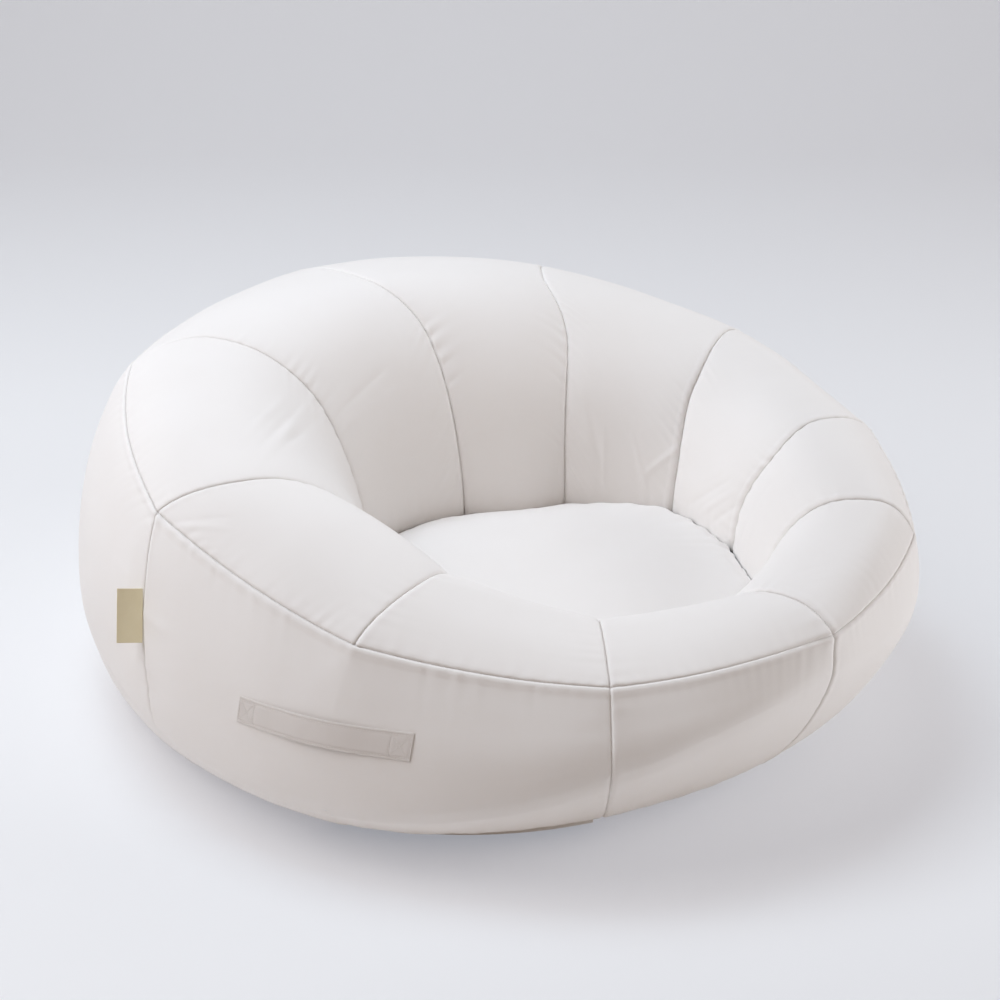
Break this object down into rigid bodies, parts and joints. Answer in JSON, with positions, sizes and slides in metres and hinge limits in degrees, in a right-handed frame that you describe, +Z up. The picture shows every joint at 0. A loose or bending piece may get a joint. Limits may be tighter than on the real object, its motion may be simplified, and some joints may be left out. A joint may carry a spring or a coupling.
{
  "type": "inflatable pool lounger",
  "caption": "Inflatable nest lounger in a sewn fabric cover: a ring bolster, high at the back and low in front, round a padded seat, with carry handles, a side tab and a base zip.",
  "frame": {"origin": "on the floor, under the middle of the round base", "axes": "+Z up, +Y from the low front to the high back, +X to the right as seen from the front"},
  "size_m": [1.1686, 1.3888, 0.5041],
  "materials": {
    "cover_fabric": "matte",
    "base_fabric": "matte",
    "seat_fabric": "matte",
    "handle_webbing": "matte",
    "label_cloth": "matte",
    "zip_tape": "matte",
    "zip_moulding": "satin",
    "bladder_sheet": "satin",
    "valve_moulding": "satin",
    "flap_rubber": "matte"
  },
  "bodies": {
    "lounger": {"top_gore_front": "cover_fabric", "top_gore_front_right": "cover_fabric", "top_gore_right_front": "cover_fabric", "top_gore_right_rear": "cover_fabric", "top_gore_rear_right": "cover_fabric", "top_gore_rear": "cover_fabric", "top_gore_rear_left": "cover_fabric", "top_gore_left_rear": "cover_fabric", "top_gore_left_front": "cover_fabric", "top_gore_front_left": "cover_fabric", "side_panel_front": "cover_fabric", "side_panel_right": "cover_fabric", "side_panel_rear": "cover_fabric", "side_panel_left": "cover_fabric", "base_panel": "base_fabric", "seat_cover": "seat_fabric", "carry_handle_front_left": "handle_webbing", "carry_handle_rear_right": "handle_webbing", "zip_tape_upper": "zip_tape", "zip_tape_lower": "zip_tape", "ring_bladder": "bladder_sheet", "ring_valve_body": "valve_moulding", "seat_bladder": "bladder_sheet", "seat_valve_body": "valve_moulding"},
    "slider": {"zip_slider": "zip_moulding"},
    "pull": {"zip_pull": "zip_moulding"},
    "label": {"label_tab": "label_cloth"},
    "ring_valve_cap": {"ring_valve_cap": "valve_moulding"},
    "ring_valve_flap": {"ring_valve_flap": "flap_rubber"},
    "seat_valve_cap": {"seat_valve_cap": "valve_moulding"},
    "seat_valve_flap": {"seat_valve_flap": "flap_rubber"}
  },
  "joints": [
    {"name": "slider_along_zip", "type": "hinge", "parent": "lounger", "child": "slider", "pos_m": [-0.06008, -0.14396, 0.018], "axis": [0, 0, 1], "range_deg": [0, 41.5]},
    {"name": "pull_swing", "type": "hinge", "parent": "slider", "child": "pull", "pos_m": [-0.36579, -0.4627, 0.018], "axis": [0, 0, -1], "range_deg": [0, 170]},
    {"name": "label_swing", "type": "hinge", "parent": "lounger", "child": "label", "pos_m": [-0.55018, -0.26709, 0.24203], "axis": [0.1402, 0.3577, 0.9232], "range_deg": [-45, 90], "stiffness_Nm_per_rad": 0.0004},
    {"name": "ring_valve_cap_turn", "type": "hinge", "parent": "lounger", "child": "ring_valve_cap", "pos_m": [-0.38093, -0.54376, 0.08334], "axis": [-0.4835, -0.5084, -0.7126], "range_deg": [0, 90]},
    {"name": "ring_valve_flap_open", "type": "hinge", "parent": "lounger", "child": "ring_valve_flap", "pos_m": [-0.37876, -0.52835, 0.08392], "axis": [-0.8552, 0.1007, 0.5084], "range_deg": [0, 45], "stiffness_Nm_per_rad": 0.0005},
    {"name": "seat_valve_cap_turn", "type": "hinge", "parent": "lounger", "child": "seat_valve_cap", "pos_m": [0.075, -0.36982, 0.0175], "axis": [0, 0, -1], "range_deg": [0, 90]},
    {"name": "seat_valve_flap_open", "type": "hinge", "parent": "lounger", "child": "seat_valve_flap", "pos_m": [0.0875, -0.3698, 0.0268], "axis": [0, 1, 0], "range_deg": [0, 45], "stiffness_Nm_per_rad": 0.0005}
  ]
}
